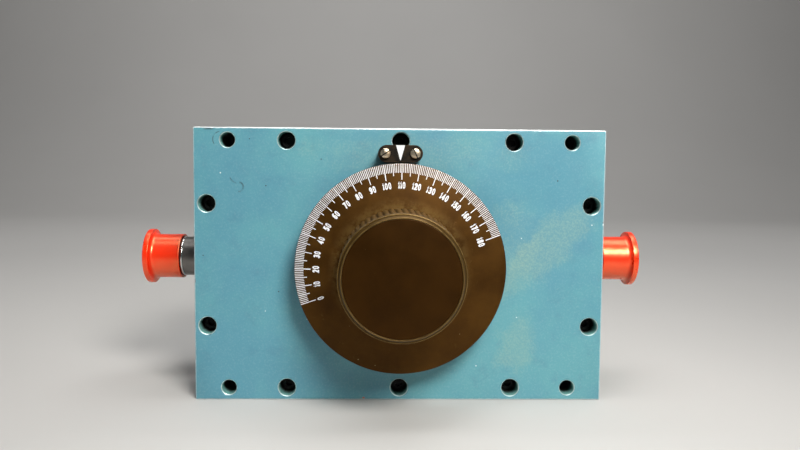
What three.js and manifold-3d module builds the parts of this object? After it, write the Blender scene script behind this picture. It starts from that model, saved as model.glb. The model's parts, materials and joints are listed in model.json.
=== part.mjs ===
// A dial-set coaxial phase shifter: a six by four inch stack of machined plates with a coaxial
// port on each side. A graduated dial and knob turn a shaft, whose rotor carries a bridging
// contact along two concentric centre conductors, so the path between the ports gets longer.
//
// Millimetres. +X is right, the front faces -Y, +Z is up, and the origin is the middle of the
// bottom face. Each piece is drawn in a face frame: its x is right, its y is up from the shaft
// axis, and its z points out of the front, with z = 0 in the plane of the two ports.
import * as THREE from "three";
import { mergeVertices } from "three/addons/utils/BufferGeometryUtils.js";
import Module from "manifold-3d";

const wasm = await Module();
wasm.setup();

// ---------------------------------------------------------------- driving dimensions
const INCH = 25.4;
const WIDTH = 6 * INCH;
const HEIGHT = 4 * INCH;
const DEPTH = 2.375 * INCH;
const PLATE = 0.5 * INCH;
const SEAM = 0.1;
const EDGE = 0.5;
const GAP = 0.3;

const FRONT = DEPTH / 2;
const INNER = FRONT - PLATE;
const CAVITY_W = 124;
const CAVITY_H = 78;
const CAVITY_R = 8;

const CORNER_X = 63.6;
const CORNER_Y = 46.1;
const CORNER_HOLE_R = 2.75;
const ROW_X = 42;
const ROW_Y = 46.1;
const SIDE_X = 71.4;
const SIDE_Y = 22.75;
const MOUTH = 0.35;

const SCREW = { headR: 2.87, headH: 3.4, socketAcross: 2.78, socketDeep: 1.8, shankR: 1.75 };
const BORE = { headR: 3.2, deep: 10, shankR: 2.05, blind: 10 };
const SCREW_TIP = -INNER - 9;

const DIAL = { rimR: 37.75, rimBack: 8.4, rimFront: 11.6, hubR: 9, hubBack: 1, web: 2.2 };
const DIAL_TOP = { r: 21.8, height: 14 };
const KNOB = { baseR: 22, frontR: 21.1, back: 14.1, height: 36.8, ringR: 19.75 };
const KNOB_FACE = { r: 19.44, thick: 2.4, chamfer: 0.15 };
const DIAL_SCREW = { circleR: 14, headR: 2.4, shankR: 1.2, long: 9 };
const KNOB_SET = { height: 20, r: 1.6, long: 8, angles: [200, 290] };

const SHAFT = { r: 3.175, back: -24.2, height: 33.4 };
const SHAFT_HOLE = 3.265;
const FIXED_HOLE = SHAFT.r + GAP;
const BUSH = { r: 6, flangeR: 8.5, flange: 1.2, hole: 6.3, long: 8 };
const WASHER = { outerR: 6.6, back: 15.6, front: 15.8 };
const COLLAR = { hubR: 8, tabR: 16, back: 11, front: 15.3, tabBack: 12 };
const STOP_PIN = { circleR: 13.5, r: 2, back: 11.6, deep: 4 };
const TRAVEL = 180;
const STOP_CLEARANCE = 1;

const LINE = { wide: 4, thick: 3.2, outerR: 30, innerR: 18 };
const OUTER_END_X = 59.7;
const INNER_END_X = -59.7;
const ROTOR = { r: 35, back: 5.6, front: 8.8, hubR: 9, hubFront: 10.7 };
const BRIDGE = { wide: 6, back: 2.3, front: 5.3, from: 15.5, to: 32.5, padR: 1.6, pad: 0.4 };
const BRIDGE_SCREW = { headR: 2.1, head: 1.4, r: 1.1, long: 5 };
const POST = { r: 3, foot: 2 };
const POST_PLACES = [[30, LINE.outerR], [90, LINE.outerR], [150, LINE.outerR],
  [60, LINE.innerR], [150, LINE.innerR]];

const DIAL_AT_REST = 110;
const ROTOR_ANGLE = DIAL_AT_REST;

const POINTER = { long: 16, wide: 6.1, x: -0.3, y: 41.25, height: 9, screwX: 5.5, pinR: 1.15 };
const POINTER_SCREW = { headR: 1.75, head: 1.3, slotWide: 0.5, slotDeep: 0.6, deep: 6 };
const POINTER_SLOTS = [35, -58];

const PORT = { neckR: 7.9, wallHole: 8.2, step: 8.5, inWall: 8.2, threadR: 7.85, thread: 11.4 };
const COAX = { boreR: 3.5, mouthR: 4.05, mouth: 8, pinR: 1.52, recess: 4.5 };
const BEAD = { r: 3.2, hole: 1.82, from: 4, long: 3 };
const CONTACT_SOCKET = { r: 0.85, deep: 4 };
const PIN_INNER_X = 60;
const PORTS = [
  { side: "left", turn: Math.PI, neck: 11.8 },
  { side: "right", turn: 0, neck: 6.8 },
];
const CAP = { mouthR: 8.95, sleeveR: 8.7, flangeR: 10.95, flange: 2.2, boreR: 8.2, end: 2.3 };
const CAP_DISH = { r: 6.4, deep: 0.7 };

// How many flat sides stand for a circle, by how large and how open to view it is.
const SIDES = { large: 48, medium: 24, small: 16, hidden: 10, hex: 6 };

const COLOUR = {
  paint: { color: 0x6aa3b5, roughness: 0.5, metalness: 0.1 },
  dial: { color: 0x34281c, roughness: 0.45, metalness: 0.4 },
  black: { color: 0x16130f, roughness: 0.5, metalness: 0.3 },
  steel: { color: 0xb9b7ae, roughness: 0.3, metalness: 0.9 },
  neck: { color: 0x50534f, roughness: 0.4, metalness: 0.8 },
  brass: { color: 0xc9a25a, roughness: 0.3, metalness: 0.9 },
  bronze: { color: 0x9a7240, roughness: 0.45, metalness: 0.8 },
  insulator: { color: 0xe9e6dc, roughness: 0.6, metalness: 0 },
  cap: { color: 0xf03a16, roughness: 0.35, metalness: 0 },
};

// ---------------------------------------------------------------- helpers
const DEG = Math.PI / 180;

const toSolid = (geometry) => {
  geometry.deleteAttribute("normal");
  geometry.deleteAttribute("uv");
  const merged = mergeVertices(geometry, 1e-3);
  return new wasm.Manifold(new wasm.Mesh({
    numProp: 3,
    vertProperties: new Float32Array(merged.attributes.position.array),
    triVerts: new Uint32Array(merged.index.array),
  }));
};

const toGeometry = (solid) => {
  const mesh = solid.getMesh();
  const geometry = new THREE.BufferGeometry();
  geometry.setAttribute("position", new THREE.BufferAttribute(mesh.vertProperties, 3));
  geometry.setIndex(new THREE.BufferAttribute(mesh.triVerts, 1));
  geometry.computeVertexNormals();
  return geometry;
};

// A turned solid about the face frame's z axis, from [radius, z] points listed back to front.
const turned = (profile, segments = SIDES.medium) => {
  const points = profile.map(([r, z]) => new THREE.Vector2(r, z));
  const geometry = new THREE.LatheGeometry(points, segments);
  return toSolid(geometry.rotateX(Math.PI / 2));
};

// A plain disc or rod between two z values, chamfered at either end by the given amounts.
const rod = (r, back, front, segments = SIDES.medium, cutBack = 0, cutFront = 0) => {
  const profile = [[0, back]];
  if (cutBack > 0) profile.push([r - cutBack, back]);
  profile.push([r, back + cutBack], [r, front - cutFront]);
  if (cutFront > 0) profile.push([r - cutFront, front]);
  profile.push([0, front]);
  return turned(profile, segments);
};

const ring = (outer, inner, back, front, segments = SIDES.medium) => turned(
  [[inner, back], [outer, back], [outer, front], [inner, front], [inner, back]], segments);

// A flat outline pushed forward from one z to another.
const extruded = (shape, back, front, curveSegments = 12) => {
  const geometry = new THREE.ExtrudeGeometry(
    shape, { depth: front - back, bevelEnabled: false, curveSegments });
  return toSolid(geometry.translate(0, 0, back));
};

const block = (w, h, back, front, x = 0, y = 0) =>
  toSolid(new THREE.BoxGeometry(w, h, front - back).translate(x, y, (back + front) / 2));

const polar = (angle, radius) => [radius * Math.cos(angle * DEG), radius * Math.sin(angle * DEG)];
const at = (solid, [x, y], z = 0) => solid.translate([x, y, z]);
const spun = (solid, degrees) => solid.rotate([0, 0, degrees]);

const roundedRect = (w, h, r) => {
  const shape = new THREE.Shape();
  shape.absarc(w / 2 - r, h / 2 - r, r, 0, Math.PI / 2);
  shape.absarc(r - w / 2, h / 2 - r, r, Math.PI / 2, Math.PI);
  shape.absarc(r - w / 2, r - h / 2, r, Math.PI, 1.5 * Math.PI);
  shape.absarc(w / 2 - r, r - h / 2, r, 1.5 * Math.PI, 2 * Math.PI);
  return shape;
};

const rectangle = (w, h) => new THREE.Shape([
  new THREE.Vector2(-w / 2, -h / 2), new THREE.Vector2(w / 2, -h / 2),
  new THREE.Vector2(w / 2, h / 2), new THREE.Vector2(-w / 2, h / 2),
]);

// The piece of a flat ring between two radii and two angles, given in degrees.
const sector = (inner, outer, from, to) => {
  const shape = new THREE.Shape();
  shape.absarc(0, 0, outer, from * DEG, to * DEG);
  shape.absarc(0, 0, inner, to * DEG, from * DEG, true);
  return shape;
};

const plateBlank = (back, front) => {
  const geometry = new THREE.ExtrudeGeometry(rectangle(WIDTH, HEIGHT), {
    depth: front - back - 2 * EDGE,
    bevelThickness: EDGE, bevelSize: EDGE, bevelOffset: -EDGE, bevelSegments: 1,
  });
  return toSolid(geometry.translate(0, 0, back + EDGE));
};

const model = new THREE.Group();
const face = new THREE.Group();
face.position.z = HEIGHT / 2;
face.rotation.x = Math.PI / 2;
model.add(face);

const add = (name, solid, colour, parent = face) => {
  const mesh = new THREE.Mesh(toGeometry(solid), new THREE.MeshStandardMaterial(COLOUR[colour]));
  mesh.name = name;
  parent.add(mesh);
  return mesh;
};

// ---------------------------------------------------------------- holes shared by the plates
const screwPlaces = [];
for (const y of [ROW_Y, -ROW_Y]) {
  for (const x of [-ROW_X, 0, ROW_X]) screwPlaces.push([x, y]);
}
for (const x of [-SIDE_X, SIDE_X]) {
  for (const y of [SIDE_Y, -SIDE_Y]) screwPlaces.push([x, y]);
}

const cornerPlaces = [];
for (const x of [-CORNER_X, CORNER_X]) {
  for (const y of [-CORNER_Y, CORNER_Y]) cornerPlaces.push([x, y]);
}

const drill = (solid, cutter, places) =>
  places.reduce((rest, place) => rest.subtract(at(cutter, place)), solid);

// ---------------------------------------------------------------- housing plates
const frontPlate = () => {
  const floor = FRONT - BORE.deep;
  const counterbore = turned([[0, INNER - 1], [BORE.shankR, INNER - 1], [BORE.shankR, floor],
    [BORE.headR, floor], [BORE.headR, FRONT - MOUTH], [BORE.headR + 2 * MOUTH, FRONT + MOUTH],
    [0, FRONT + MOUTH]], SIDES.small);
  const corner = turned([[0, INNER - 1], [CORNER_HOLE_R, INNER - 1], [CORNER_HOLE_R, FRONT - MOUTH],
    [CORNER_HOLE_R + 2 * MOUTH, FRONT + MOUTH], [0, FRONT + MOUTH]], SIDES.small);
  const tapBottom = FRONT - POINTER_SCREW.deep - GAP;
  const pointerTap = rod(POINTER.pinR + GAP, tapBottom, FRONT + 1, SIDES.hidden);
  const pointerPlaces = [-POINTER.screwX, POINTER.screwX].map((x) => [POINTER.x + x, POINTER.y]);
  let plate = plateBlank(INNER, FRONT);
  plate = drill(plate, counterbore, screwPlaces);
  plate = drill(plate, corner, cornerPlaces);
  plate = drill(plate, pointerTap, pointerPlaces);
  plate = plate.subtract(rod(BUSH.hole, INNER - 1, FRONT + 1));
  const pinHole = rod(STOP_PIN.r + GAP, INNER - 1, INNER + STOP_PIN.deep + GAP, SIDES.hidden);
  return plate.subtract(at(pinHole, [0, -STOP_PIN.circleR]));
};

const housingFrame = () => {
  const back = SEAM - INNER;
  const front = INNER - SEAM;
  const cavity = extruded(roundedRect(CAVITY_W, CAVITY_H, CAVITY_R), back - 1, front + 1, 6);
  const screwHole = rod(BORE.shankR, back - 1, front + 1, SIDES.hidden);
  const cornerHole = rod(CORNER_HOLE_R, back - 1, front + 1, SIDES.small);
  const outside = WIDTH / 2;
  const stepZ = outside - PORT.step;
  const portHole = turned([[0, CAVITY_W / 2 - 1], [COAX.boreR, CAVITY_W / 2 - 1],
    [COAX.boreR, stepZ], [PORT.wallHole, stepZ], [PORT.wallHole, outside + 1],
    [0, outside + 1]]);
  let frame = plateBlank(back, front).subtract(cavity);
  frame = drill(frame, screwHole, screwPlaces);
  frame = drill(frame, cornerHole, cornerPlaces);
  frame = frame.subtract(portHole.rotate([0, 90, 0]));
  return frame.subtract(portHole.rotate([0, -90, 0]));
};

const backPlate = () => {
  const back = -FRONT;
  const front = -INNER;
  const blindHole = rod(BORE.shankR, front - BORE.blind, front + 1, SIDES.hidden);
  const corner = turned([[0, back - MOUTH], [CORNER_HOLE_R + 2 * MOUTH, back - MOUTH],
    [CORNER_HOLE_R, back + MOUTH], [CORNER_HOLE_R, front + 1], [0, front + 1]], SIDES.small);
  const postHole = rod(POST.r + GAP, front - POST.foot - GAP, front + 1, SIDES.hidden);
  let plate = drill(plateBlank(back, front), blindHole, screwPlaces);
  plate = drill(plate, corner, cornerPlaces);
  plate = plate.subtract(rod(BUSH.hole, front - BUSH.long - 1, front + 1));
  return drill(plate, postHole, POST_PLACES.map(([angle, r]) => polar(angle, r)));
};

add("front_plate", frontPlate(), "paint");
add("housing_frame", housingFrame(), "paint");
add("back_plate", backPlate(), "paint");

// ---------------------------------------------------------------- cap screws
const capScrew = () => {
  const seat = FRONT - BORE.deep + SEAM;
  const top = seat + SCREW.headH;
  const head = turned([[0, seat], [SCREW.headR, seat], [SCREW.headR, top - 0.3],
    [SCREW.headR - 0.3, top], [0, top]], SIDES.small);
  const shank = rod(SCREW.shankR, SCREW_TIP, seat + 1, SIDES.hidden);
  const socketR = SCREW.socketAcross / Math.sqrt(3);
  return head.add(shank).subtract(rod(socketR, top - SCREW.socketDeep, top + 1, SIDES.hex));
};

screwPlaces.forEach(([x, y], index) => {
  const name = `plate_screw_${String(index + 1).padStart(2, "0")}`;
  add(name, capScrew(), "black").position.set(x, y, 0);
});

// ---------------------------------------------------------------- pointer
const stadium = (long, wide) => {
  const shape = new THREE.Shape();
  const half = (long - wide) / 2;
  shape.absarc(half, 0, wide / 2, -Math.PI / 2, Math.PI / 2);
  shape.absarc(-half, 0, wide / 2, Math.PI / 2, 1.5 * Math.PI);
  return shape;
};

const pointerBlock = () => {
  const back = FRONT + SEAM;
  const front = FRONT + POINTER.height;
  const hole = rod(POINTER.pinR + GAP, back - 1, front + 1, SIDES.hidden);
  const bar = extruded(stadium(POINTER.long, POINTER.wide), back, front, 10);
  return drill(bar, hole, [[-POINTER.screwX, 0], [POINTER.screwX, 0]]);
};

const pointerScrew = () => {
  const under = FRONT + POINTER.height + SEAM;
  const top = under + POINTER_SCREW.head;
  const tip = FRONT - POINTER_SCREW.deep;
  const body = turned([[0, tip], [POINTER.pinR, tip], [POINTER.pinR, under],
    [POINTER_SCREW.headR, under], [POINTER_SCREW.headR, top - 0.4],
    [POINTER_SCREW.headR - 0.4, top], [0, top]], SIDES.small);
  const slot = block(2 * POINTER_SCREW.headR + 1, POINTER_SCREW.slotWide,
    top - POINTER_SCREW.slotDeep, top + 1);
  return body.subtract(slot);
};

add("pointer_block", pointerBlock(), "black").position.set(POINTER.x, POINTER.y, 0);
["left", "right"].forEach((side, index) => {
  const screw = add(`pointer_screw_${side}`, pointerScrew(), "steel");
  const fromMiddle = index === 0 ? -POINTER.screwX : POINTER.screwX;
  screw.position.set(POINTER.x + fromMiddle, POINTER.y, 0);
  screw.rotation.z = POINTER_SLOTS[index] * DEG;
});

// ---------------------------------------------------------------- dial, knob and shaft
const dialScrewAngles = [30, 150, 270];

const dialSkirt = () => {
  const underside = DIAL.rimBack + 0.2;
  const crown = DIAL_TOP.height - DIAL.web;
  const body = turned([[FIXED_HOLE, FRONT + DIAL.hubBack], [DIAL.hubR, FRONT + DIAL.hubBack],
    [DIAL.hubR, FRONT + crown], [DIAL_TOP.r, FRONT + crown], [DIAL.rimR - 1, FRONT + underside],
    [DIAL.rimR, FRONT + underside + 0.6], [DIAL.rimR, FRONT + DIAL.rimFront - 0.4],
    [DIAL.rimR - 0.4, FRONT + DIAL.rimFront], [DIAL_TOP.r, FRONT + DIAL_TOP.height],
    [FIXED_HOLE, FRONT + DIAL_TOP.height], [FIXED_HOLE, FRONT + DIAL.hubBack]], SIDES.large);
  const hole = rod(DIAL_SCREW.shankR + GAP, FRONT, FRONT + DIAL_TOP.height + 1, SIDES.hidden);
  return drill(body, hole, dialScrewAngles.map((angle) => polar(angle, DIAL_SCREW.circleR)));
};

const knobBody = () => {
  const front = FRONT + KNOB.height;
  const shoulder = front - (KNOB.frontR - KNOB.ringR) * 0.9;
  const seat = front - KNOB_FACE.thick - GAP;
  let body = turned([[0, FRONT + KNOB.back], [KNOB.baseR, FRONT + KNOB.back],
    [KNOB.frontR, shoulder], [KNOB.ringR + 0.15, front], [KNOB.ringR, front],
    [KNOB.ringR, seat], [0, seat]], SIDES.large);
  body = body.subtract(rod(FIXED_HOLE, FRONT, FRONT + SHAFT.height + GAP, SIDES.small));
  const screwHole = rod(DIAL_SCREW.shankR + GAP, FRONT, FRONT + KNOB.back + 6.5, SIDES.hidden);
  body = drill(body, screwHole, dialScrewAngles.map((angle) => polar(angle, DIAL_SCREW.circleR)));
  const setHole = rod(KNOB_SET.r + GAP, 0, KNOB.baseR + 1, SIDES.hidden).rotate([0, 90, 0]);
  for (const angle of KNOB_SET.angles) {
    body = body.subtract(spun(setHole, angle).translate([0, 0, FRONT + KNOB_SET.height]));
  }
  return body;
};

const setScrew = (from, long, r) => {
  const body = rod(r, from, from + long, SIDES.hidden, 0.3, 0.3);
  const socket = rod(r * 0.55, from + long - 1.6, from + long + 1, SIDES.hex);
  return body.subtract(socket).rotate([0, 90, 0]);
};

const dialScrew = () => {
  const head = FRONT + DIAL_TOP.height - DIAL.web - SEAM;
  const tip = head + DIAL_SCREW.long - 1;
  return turned([[0, head - 1.4], [DIAL_SCREW.headR, head - 1.4], [DIAL_SCREW.headR, head],
    [DIAL_SCREW.shankR, head], [DIAL_SCREW.shankR, tip], [0, tip]], SIDES.hidden);
};

add("dial_skirt", dialSkirt(), "dial");
add("knob", knobBody(), "dial");
const knobFaceFront = FRONT + KNOB.height;
const knobFaceBack = knobFaceFront - KNOB_FACE.thick;
const knobFace = rod(
  KNOB_FACE.r, knobFaceBack, knobFaceFront, SIDES.large, 0, KNOB_FACE.chamfer);
add("knob_face", knobFace, "dial");
add("shaft", rod(SHAFT.r, SHAFT.back, FRONT + SHAFT.height, SIDES.medium, 0.5, 0.5), "steel");

dialScrewAngles.forEach((angle, index) => {
  const [x, y] = polar(angle, DIAL_SCREW.circleR);
  add(`dial_screw_${index + 1}`, dialScrew(), "black").position.set(x, y, 0);
});

KNOB_SET.angles.forEach((angle, index) => {
  const screw = add(`knob_set_screw_${index + 1}`,
    setScrew(FIXED_HOLE + GAP, KNOB_SET.long, KNOB_SET.r), "black");
  screw.position.z = FRONT + KNOB_SET.height;
  screw.rotation.z = angle * DEG;
});

// ---------------------------------------------------------------- bearings and stops
const frontBush = () => turned([[SHAFT_HOLE, INNER - SEAM - BUSH.flange],
  [BUSH.flangeR, INNER - SEAM - BUSH.flange], [BUSH.flangeR, INNER - SEAM],
  [BUSH.r, INNER - SEAM], [BUSH.r, FRONT], [SHAFT_HOLE, FRONT],
  [SHAFT_HOLE, INNER - SEAM - BUSH.flange]]);

const stopHalfAngle = Math.asin(STOP_PIN.r / STOP_PIN.circleR) / DEG;
const tabAngle = 360 - TRAVEL - 2 * stopHalfAngle - 2 * STOP_CLEARANCE;
const midTravelAngle = 90 + (DIAL_AT_REST - TRAVEL / 2);

const stopCollar = () => {
  const hub = rod(COLLAR.hubR, COLLAR.back, COLLAR.front);
  const tab = extruded(sector(COLLAR.hubR - 1, COLLAR.tabR, -tabAngle / 2, tabAngle / 2),
    COLLAR.tabBack, COLLAR.front, SIDES.small);
  const setHole = rod(KNOB_SET.r + GAP, 0, COLLAR.hubR + 1, SIDES.hidden).rotate([0, 90, 0]);
  const shaftHole = rod(FIXED_HOLE, COLLAR.back - 1, COLLAR.front + 1, SIDES.small);
  const whole = hub.add(tab).subtract(shaftHole);
  return spun(whole.subtract(spun(setHole, 180).translate([0, 0, collarMid])), midTravelAngle);
};

const collarMid = (COLLAR.back + COLLAR.front) / 2;
const rearBushBack = -INNER - BUSH.long;

add("front_bush", frontBush(), "bronze");
add("rear_bush", ring(BUSH.r, SHAFT_HOLE, rearBushBack, -INNER), "bronze");
const washer = ring(WASHER.outerR, FIXED_HOLE, WASHER.back, WASHER.front, SIDES.small);
add("wave_washer", washer, "steel");
add("stop_collar", stopCollar(), "steel");
const collarScrew = add("collar_set_screw",
  setScrew(FIXED_HOLE + GAP, COLLAR.hubR - FIXED_HOLE - GAP - 0.4, KNOB_SET.r), "black");
collarScrew.position.z = collarMid;
collarScrew.rotation.z = (midTravelAngle + 180) * DEG;
const stopPin = rod(STOP_PIN.r, STOP_PIN.back, INNER + STOP_PIN.deep, SIDES.small);
add("stop_pin", stopPin, "steel").position.set(0, -STOP_PIN.circleR, 0);

// ---------------------------------------------------------------- rotor
const bridgeScrewRadii = [21, 27];
const bridgePadRadii = [LINE.innerR, LINE.outerR];

const rotorDisc = () => {
  let disc = rod(ROTOR.r, ROTOR.back, ROTOR.front, SIDES.medium);
  disc = disc.add(rod(ROTOR.hubR, ROTOR.back + 1, ROTOR.hubFront, SIDES.small));
  disc = disc.subtract(rod(FIXED_HOLE, ROTOR.back - 1, ROTOR.hubFront + 1, SIDES.small));
  const hole = rod(BRIDGE_SCREW.r + GAP, ROTOR.back - 1, ROTOR.front + 1, SIDES.hidden);
  return drill(disc, hole, bridgeScrewRadii.map((radius) => [radius, 0]));
};

const rotorBridge = () => {
  const middle = (BRIDGE.from + BRIDGE.to) / 2;
  let bar = block(BRIDGE.to - BRIDGE.from, BRIDGE.wide, BRIDGE.back, BRIDGE.front, middle, 0);
  for (const radius of bridgePadRadii) {
    const pad = rod(BRIDGE.padR, BRIDGE.back - BRIDGE.pad, BRIDGE.back + 1, SIDES.hidden);
    bar = bar.add(at(pad, [radius, 0]));
  }
  const hole = rod(BRIDGE_SCREW.r + GAP, BRIDGE.back + 0.6, BRIDGE.front + 1, SIDES.hidden);
  return drill(bar, hole, bridgeScrewRadii.map((radius) => [radius, 0]));
};

const bridgeScrew = () => {
  const under = ROTOR.front + SEAM;
  const top = under + BRIDGE_SCREW.head;
  const tip = under - BRIDGE_SCREW.long;
  const body = turned([[0, tip], [BRIDGE_SCREW.r, tip], [BRIDGE_SCREW.r, under],
    [BRIDGE_SCREW.headR, under], [BRIDGE_SCREW.headR, top], [0, top]], SIDES.hidden);
  return body.subtract(block(2 * BRIDGE_SCREW.headR + 1, 0.5, top - 0.6, top + 1));
};

add("rotor_disc", rotorDisc(), "insulator").rotation.z = ROTOR_ANGLE * DEG;
add("rotor_bridge", rotorBridge(), "brass").rotation.z = ROTOR_ANGLE * DEG;
bridgeScrewRadii.forEach((radius, index) => {
  const [x, y] = polar(ROTOR_ANGLE, radius);
  add(`bridge_screw_${index + 1}`, bridgeScrew(), "insulator").position.set(x, y, 0);
});

// ---------------------------------------------------------------- centre conductors
const lineBack = -LINE.thick / 2;
const lineFront = LINE.thick / 2;
const arcBar = (radius, from, to, segments) => extruded(
  sector(radius - LINE.wide / 2, radius + LINE.wide / 2, from, to), lineBack, lineFront, segments);
const straightBar = (fromX, toX, y) => block(
  Math.abs(toX - fromX), LINE.wide, lineBack, lineFront, (fromX + toX) / 2, y);

// The outer line runs in from the right port, then over the top to the left.
const outerLine = () => arcBar(LINE.outerR, -4, 184, 28).add(
  straightBar(LINE.outerR, OUTER_END_X, 0));

// The inner line runs over the top, down the right, along below the shaft and out to the left.
const innerLine = () => {
  const run = -LINE.innerR;
  const bendR = LINE.innerR / 2;
  const bendX = INNER_END_X + LINE.innerR;
  const lower = arcBar(bendR, 180, 270, 7).translate([bendX, -bendR, 0]);
  const upper = arcBar(bendR, 0, 90, 7).translate([bendX - LINE.innerR, -bendR, 0]);
  return arcBar(LINE.innerR, -90, 184, 28)
    .add(straightBar(bendX, 0.5, run))
    .add(lower)
    .add(upper);
};

add("outer_line", outerLine(), "brass");
add("inner_line", innerLine(), "brass");

const postFoot = -INNER - POST.foot;
POST_PLACES.forEach(([angle, radius], index) => {
  const [x, y] = polar(angle, radius);
  const post = rod(POST.r, postFoot, lineBack - GAP, SIDES.small);
  add(`support_post_${index + 1}`, post, "insulator").position.set(x, y, 0);
});

// ---------------------------------------------------------------- ports and dust caps
// Each port is turned about its own z axis, which points out of the side of the box.
const connectorBody = (neckEnd) => {
  const back = WIDTH / 2 - PORT.inWall;
  const tip = neckEnd + PORT.thread;
  const mouth = tip - COAX.mouth;
  return turned([[COAX.boreR, back], [PORT.neckR, back], [PORT.neckR, neckEnd],
    [PORT.threadR, neckEnd], [PORT.threadR, tip - 0.5], [PORT.threadR - 0.5, tip],
    [COAX.mouthR, tip], [COAX.mouthR, mouth], [COAX.boreR, mouth], [COAX.boreR, back]]);
};

const centreContact = (tip) => {
  const socket = rod(CONTACT_SOCKET.r, tip - CONTACT_SOCKET.deep, tip + 1, SIDES.hidden);
  return rod(COAX.pinR, PIN_INNER_X, tip, SIDES.small).subtract(socket);
};

const dustCap = (neckEnd) => {
  const mouth = neckEnd + SEAM;
  const end = mouth + PORT.thread + GAP + CAP.end;
  const flangeBack = end - CAP.flange;
  return turned([[0, end - CAP.end], [CAP.boreR, end - CAP.end], [CAP.boreR, mouth],
    [CAP.mouthR, mouth], [CAP.mouthR, mouth + 0.6], [CAP.sleeveR, flangeBack - 0.8],
    [CAP.sleeveR + 0.8, flangeBack], [CAP.flangeR - 0.5, flangeBack],
    [CAP.flangeR, flangeBack + 0.5], [CAP.flangeR, end - 0.5], [CAP.flangeR - 0.5, end],
    [CAP_DISH.r, end], [CAP_DISH.r - 0.5, end - CAP_DISH.deep], [0, end - CAP_DISH.deep]]);
};

for (const { side, turn, neck } of PORTS) {
  const port = new THREE.Group();
  port.position.z = HEIGHT / 2;
  port.rotation.set(0, Math.PI / 2, 0);
  const mirror = new THREE.Group();
  mirror.rotation.z = turn;
  mirror.add(port);
  model.add(mirror);
  const neckEnd = WIDTH / 2 + neck;
  const beadBack = WIDTH / 2 - BEAD.from;
  add(`${side}_connector`, connectorBody(neckEnd), "neck", port);
  const bead = ring(BEAD.r, BEAD.hole, beadBack, beadBack + BEAD.long, SIDES.small);
  add(`${side}_bead`, bead, "insulator", port);
  add(`${side}_contact`, centreContact(neckEnd + PORT.thread - COAX.recess), "brass", port);
  add(`${side}_dust_cap`, dustCap(neckEnd), "cap", port);
}

export default model;
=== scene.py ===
"""Looks for the dial-set coaxial phase shifter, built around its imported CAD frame.

Shapes are drawn in millimetres in a face frame, x right, y up from the shaft axis and z out of
the front, or in a port frame whose z points out of the side, and are placed in the row frame.
"""

import json
import math
import random

import bmesh
import bpy
from mathutils import Matrix, Vector


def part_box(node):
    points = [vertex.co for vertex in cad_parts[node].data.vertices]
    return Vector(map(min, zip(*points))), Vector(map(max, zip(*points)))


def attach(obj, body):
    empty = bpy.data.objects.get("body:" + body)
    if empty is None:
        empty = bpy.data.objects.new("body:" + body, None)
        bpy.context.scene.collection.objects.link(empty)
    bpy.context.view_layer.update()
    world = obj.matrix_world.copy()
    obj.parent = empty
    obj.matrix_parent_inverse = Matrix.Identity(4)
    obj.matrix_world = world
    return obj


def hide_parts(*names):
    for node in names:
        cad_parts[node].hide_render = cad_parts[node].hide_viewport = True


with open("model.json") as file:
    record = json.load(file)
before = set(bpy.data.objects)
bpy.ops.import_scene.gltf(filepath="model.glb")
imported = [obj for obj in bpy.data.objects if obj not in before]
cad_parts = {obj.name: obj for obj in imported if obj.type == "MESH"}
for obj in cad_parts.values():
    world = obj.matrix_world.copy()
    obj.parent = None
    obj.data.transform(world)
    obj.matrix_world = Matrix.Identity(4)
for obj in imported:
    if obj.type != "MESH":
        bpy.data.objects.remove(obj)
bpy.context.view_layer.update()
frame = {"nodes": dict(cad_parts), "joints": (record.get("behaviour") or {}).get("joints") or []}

# ---------------- sizes
MM = 0.001
PLATE_LOW, PLATE_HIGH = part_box("front_plate")
BACK_LOW, BACK_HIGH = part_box("back_plate")
FRAME_LOW, FRAME_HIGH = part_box("housing_frame")
DIAL_LOW, DIAL_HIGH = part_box("dial_skirt")
JOINTS = {joint["name"]: joint for joint in frame["joints"]}
AXIS = Vector(JOINTS["dial_turn"]["pos_m"])

WIDTH = (PLATE_HIGH.x - PLATE_LOW.x) / MM
HEIGHT = (PLATE_HIGH.z - PLATE_LOW.z) / MM
FRONT = -PLATE_LOW.y / MM
INNER = -PLATE_HIGH.y / MM
EDGE = 0.5

CORNER_X, CORNER_Y, CORNER_R = 63.6, 46.1, 2.75
ROW_X, ROW_Y = 42.0, 46.1
SIDE_X, SIDE_Y = 71.4, 22.75
BORE_R, BORE_DEEP, SHANK_R, MOUTH = 3.2, 10.0, 2.05, 0.3
BUSH_HOLE_R, PLATE_SHARP = 6.3, 15
CAVITY_WIDE, CAVITY_HIGH, CAVITY_R = 124.0, 78.0, 8.0
PORT_HOLE_R, PORT_STEP, COAX_R = 8.2, 8.5, 3.5
SCREW_PLACES = [(x, y) for y in (ROW_Y, -ROW_Y) for x in (-ROW_X, 0, ROW_X)]
SCREW_PLACES += [(x, y) for x in (-SIDE_X, SIDE_X) for y in (SIDE_Y, -SIDE_Y)]
CORNER_PLACES = [(x, y) for x in (-CORNER_X, CORNER_X) for y in (-CORNER_Y, CORNER_Y)]

DIAL_R = (DIAL_HIGH.x - DIAL_LOW.x) / 2 / MM
DIAL_RIM_BACK, DIAL_RIM_FRONT = 8.6, 11.6
DIAL_TOP_R, DIAL_TOP = 21.8, 14.0
DIAL_HUB_R, DIAL_HUB_BACK, DIAL_WEB = 9.0, 1.0, 2.2
DIAL_EDGE = 0.3
DIAL_UNITS = 180
DIAL_AT_REST = 109.7
MARK_OUTER_R = DIAL_R - 0.08
TICK_INNER_R = {1: 34.45, 5: 33.3, 10: 31.95}
TICK_WIDE = {1: 0.225, 5: 0.28, 10: 0.3}
MARK_SUNK, MARK_PROUD = 0.06, 0.03
NUMBER_TOP_R, NUMBER_HIGH, NUMBER_GAP = 31.25, 2.45, 0.11
NUMBER_WIDE = {"1": 0.64}
NUMBER_WIDE_OTHERS = 1.16
STROKE_HALF = 0.275

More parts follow.
